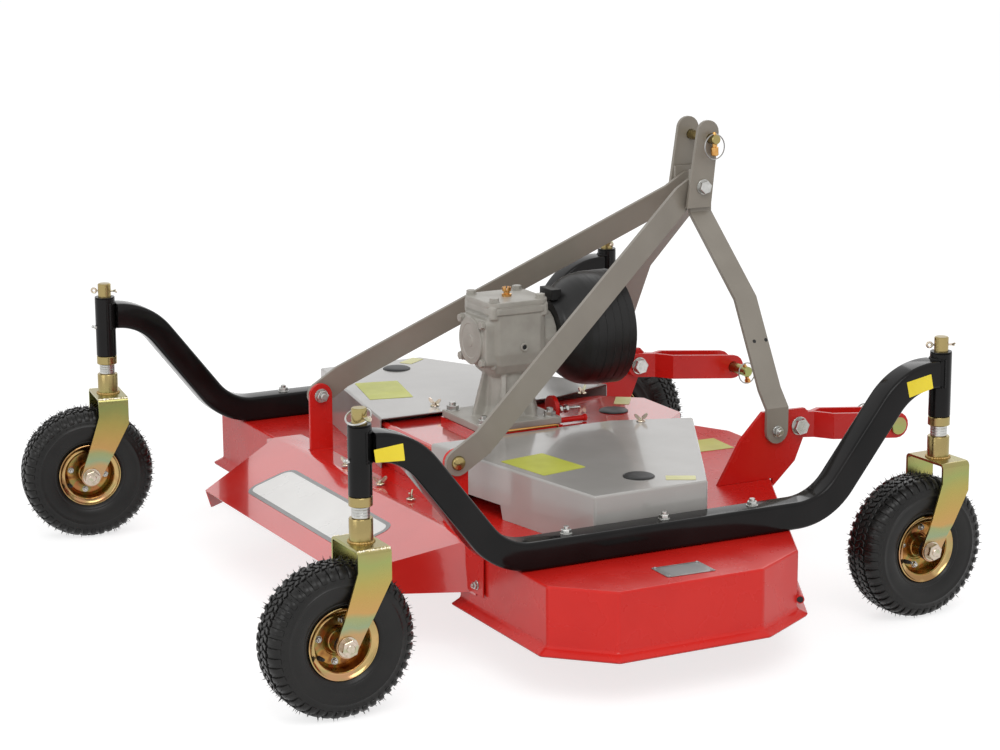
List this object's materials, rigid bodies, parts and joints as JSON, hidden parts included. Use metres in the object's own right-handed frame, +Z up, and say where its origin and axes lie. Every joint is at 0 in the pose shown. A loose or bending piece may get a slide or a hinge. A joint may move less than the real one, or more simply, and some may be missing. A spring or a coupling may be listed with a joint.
{
  "type": "finishing mower",
  "caption": "Tractor-mounted finishing mower: shallow deck with rotary blades, belt covers, gearbox with shaft guard, strut mast, and swivelling castors on bent side tubes.",
  "frame": {"origin": "on the ground under the middle of the bounding box, in the mower's symmetry plane", "axes": "+X to the mower's right, +Y forwards to the tractor and the hitch, +Z up"},
  "size_m": [1.644, 1.4733, 0.85],
  "materials": {
    "red_paint": "glossy red enamel",
    "grey_paint": "warm grey enamel on flat bar",
    "cover_grey": "glossy warm grey enamel",
    "cast_grey": "grey paint on rough casting",
    "black_paint": "glossy black enamel",
    "zinc_yellow": "iridescent yellow zinc plating",
    "bright_steel": "white zinc plating",
    "blade_steel": "ground cutting edges on dark steel",
    "black_plastic": "moulded black plastic",
    "tyre_rubber": "matt black rubber"
  },
  "bodies": {
    "frame": {"deck": "red_paint", "rear_hood": "red_paint", "centre_housing": "red_paint", "belt_tensioner": "red_paint", "belt_cover_right": "cover_grey", "belt_cover_left": "cover_grey", "gearbox": "cast_grey", "drive_guard": "black_plastic", "spindle_centre": "cast_grey", "spindle_right": "cast_grey", "spindle_left": "cast_grey", "mast_ear_right": "grey_paint", "mast_ear_left": "grey_paint", "front_strut_right": "grey_paint", "front_strut_left": "grey_paint", "rear_strut_right": "grey_paint", "rear_strut_left": "grey_paint", "top_link_pin": "zinc_yellow", "mast_bolt": "bright_steel", "hitch_bracket_right": "red_paint", "hitch_bracket_left": "red_paint", "arm_bolt_right": "zinc_yellow", "arm_bolt_left": "zinc_yellow", "side_tube_right": "black_paint", "side_tube_left": "black_paint"},
    "castor_rear_left": {"fork_rear_left": "zinc_yellow", "axle_rear_left": "bright_steel"},
    "castor_rear_right": {"fork_rear_right": "zinc_yellow", "axle_rear_right": "bright_steel"},
    "castor_front_left": {"fork_front_left": "zinc_yellow", "axle_front_left": "bright_steel"},
    "castor_front_right": {"fork_front_right": "zinc_yellow", "axle_front_right": "bright_steel"},
    "wheel_rear_left": {"tyre_rear_left": "tyre_rubber", "rim_rear_left": "zinc_yellow"},
    "wheel_rear_right": {"tyre_rear_right": "tyre_rubber", "rim_rear_right": "zinc_yellow"},
    "wheel_front_left": {"tyre_front_left": "tyre_rubber", "rim_front_left": "zinc_yellow"},
    "wheel_front_right": {"tyre_front_right": "tyre_rubber", "rim_front_right": "zinc_yellow"},
    "arm_right": {"hitch_arm_right": "red_paint", "lower_pin_right": "zinc_yellow"},
    "arm_left": {"hitch_arm_left": "red_paint", "lower_pin_left": "zinc_yellow"},
    "rotor_centre": {"blade_centre": "blade_steel"},
    "rotor_right": {"blade_right": "blade_steel"},
    "rotor_left": {"blade_left": "blade_steel"},
    "input": {"drive_shaft": "bright_steel"}
  },
  "joints": [
    {"name": "castor_rear_left_turn", "type": "hinge", "parent": "frame", "child": "castor_rear_left", "pos_m": [-0.61, -0.5565, 0.42], "axis": [0, 0, 1], "continuous": true},
    {"name": "castor_rear_right_turn", "type": "hinge", "parent": "frame", "child": "castor_rear_right", "pos_m": [0.61, -0.5565, 0.42], "axis": [0, 0, 1], "continuous": true},
    {"name": "castor_front_left_turn", "type": "hinge", "parent": "frame", "child": "castor_front_left", "pos_m": [-0.61, 0.5975, 0.42], "axis": [0, 0, 1], "continuous": true},
    {"name": "castor_front_right_turn", "type": "hinge", "parent": "frame", "child": "castor_front_right", "pos_m": [0.61, 0.5975, 0.42], "axis": [0, 0, 1], "continuous": true},
    {"name": "wheel_rear_left_spin", "type": "hinge", "parent": "castor_rear_left", "child": "wheel_rear_left", "pos_m": [-0.6175, -0.60493, 0.131], "axis": [0.9882, -0.153, 0], "continuous": true},
    {"name": "wheel_rear_right_spin", "type": "hinge", "parent": "castor_rear_right", "child": "wheel_rear_right", "pos_m": [0.60949, -0.6055, 0.131], "axis": [0.9999, -0.0105, 0], "continuous": true},
    {"name": "wheel_front_left_spin", "type": "hinge", "parent": "castor_front_left", "child": "wheel_front_left", "pos_m": [-0.56654, 0.62012, 0.131], "axis": [-0.4617, 0.887, 0], "continuous": true},
    {"name": "wheel_front_right_spin", "type": "hinge", "parent": "castor_front_right", "child": "wheel_front_right", "pos_m": [0.61197, 0.54854, 0.131], "axis": [0.9992, 0.0401, 0], "continuous": true},
    {"name": "arm_right_lift", "type": "hinge", "parent": "frame", "child": "arm_right", "pos_m": [0.2965, 0.4925, 0.2965], "axis": [1, 0, 0], "range_deg": [0, 25]},
    {"name": "arm_left_lift", "type": "hinge", "parent": "frame", "child": "arm_left", "pos_m": [-0.2965, 0.4925, 0.2965], "axis": [1, 0, 0], "range_deg": [0, 25]},
    {"name": "rotor_centre_spin", "type": "hinge", "parent": "frame", "child": "rotor_centre", "pos_m": [0, 0.2665, 0.11], "axis": [0, 0, 1], "continuous": true},
    {"name": "rotor_right_spin", "type": "hinge", "parent": "frame", "child": "rotor_right", "pos_m": [0.5, 0.0315, 0.11], "axis": [0, 0, 1], "continuous": true},
    {"name": "rotor_left_spin", "type": "hinge", "parent": "frame", "child": "rotor_left", "pos_m": [-0.5, 0.0315, 0.11], "axis": [0, 0, 1], "continuous": true},
    {"name": "input_spin", "type": "hinge", "parent": "frame", "child": "input", "pos_m": [0, 0.2065, 0.458], "axis": [0, 1, 0], "continuous": true}
  ],
  "couplings": [
    {"joint": "rotor_right_spin", "follows": "rotor_centre_spin", "ratio": 1},
    {"joint": "rotor_left_spin", "follows": "rotor_centre_spin", "ratio": 1},
    {"joint": "input_spin", "follows": "rotor_centre_spin", "ratio": 0.2}
  ]
}
